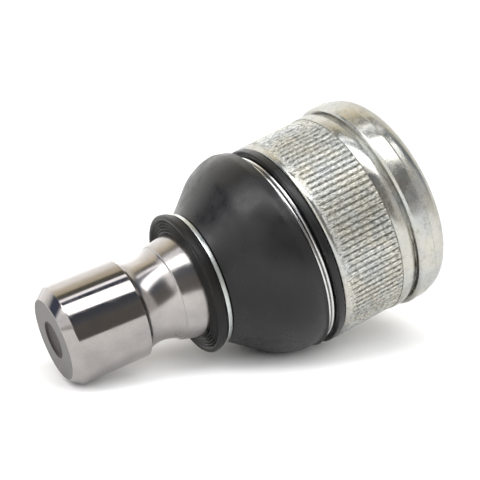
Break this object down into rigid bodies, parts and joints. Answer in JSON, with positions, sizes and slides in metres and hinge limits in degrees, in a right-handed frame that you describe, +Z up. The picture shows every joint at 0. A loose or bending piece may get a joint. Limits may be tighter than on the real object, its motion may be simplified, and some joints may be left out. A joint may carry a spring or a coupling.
{
  "type": "suspension ball joint",
  "caption": "Press-in suspension ball joint: knurled flanged housing, rubber dust boot with clamp rings, ball stud with a pinch-bolt groove.",
  "frame": {"origin": "centre of the ball, which is the pivot of every joint and lies on the axis of the press body", "axes": "+Z up and +X level, from the stud's tip towards the housing, with the joint lying on its side: the housing's axis climbs 18.6 degrees from +X towards +Z and the stud's axis climbs 14.1 degrees, both in the XZ plane"},
  "size_m": [0.0823, 0.0446, 0.0492],
  "materials": {
    "zinc_plated_steel": "zinc plated, satin with a faint yellow and blue tint",
    "cover_steel": "zinc plated pressing, satin",
    "bearing_plastic": "natural acetal",
    "spring_steel": "blued spring steel",
    "ring_wire": "bright drawn wire",
    "boot_rubber": "smooth moulded rubber, matte with a soft sheen",
    "ring_band": "bright steel",
    "stud_steel": "ground pinch cylinder, polished bolt groove and collar"
  },
  "bodies": {
    "socket": {"housing": "zinc_plated_steel", "cover_plate": "cover_steel", "front_bearing": "bearing_plastic", "rear_bearing": "bearing_plastic", "disc_spring": "spring_steel", "large_clamp_ring": "ring_wire"},
    "boot": {"dust_boot": "boot_rubber"},
    "boot_mouth": {"small_clamp_ring": "ring_band"},
    "stud": {"ball_stud": "stud_steel"}
  },
  "joints": [
    {"name": "lean_direction", "type": "hinge", "parent": "socket", "child": "boot", "pos_m": [0, 0, 0], "axis": [0.9478, 0, 0.319], "continuous": true},
    {"name": "lean", "type": "hinge", "parent": "boot", "child": "boot_mouth", "pos_m": [0, 0, 0], "axis": [0, 1, 0], "range_deg": [-26.5, 17.5], "deforming": ["dust_boot"]},
    {"name": "stud_turn", "type": "hinge", "parent": "boot_mouth", "child": "stud", "pos_m": [0, 0, 0], "axis": [0.9699, 0, 0.2436], "continuous": true}
  ]
}
